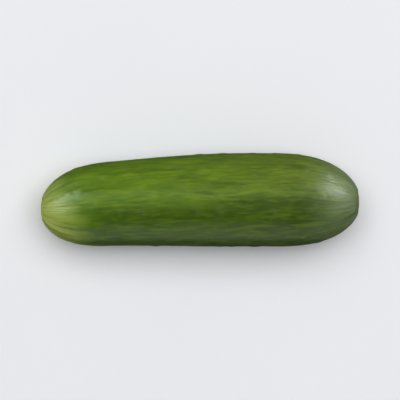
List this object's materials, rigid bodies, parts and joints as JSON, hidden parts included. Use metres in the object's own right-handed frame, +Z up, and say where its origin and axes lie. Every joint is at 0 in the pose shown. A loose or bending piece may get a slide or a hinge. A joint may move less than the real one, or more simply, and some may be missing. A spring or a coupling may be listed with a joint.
{
  "type": "baby cucumber",
  "caption": "Whole small cucumber as picked, lying on its side: tapered, gently bowed body with low ribs and warts, blossom scar and stem stub at its tips.",
  "frame": {"origin": "on the surface that the cucumber rests on, under the middle of its box", "axes": "+X along the fruit towards its stem end, +Y sideways, away from the side that the blossom end bends to, +Z up from the surface that it rests on"},
  "size_m": [0.09, 0.0268, 0.026],
  "materials": {
    "cucumber_skin": "waxy satin cucumber skin, lime at the blossom end and dark green at the stem end"
  },
  "bodies": {
    "root": {"cucumber": "cucumber_skin"}
  },
  "joints": []
}
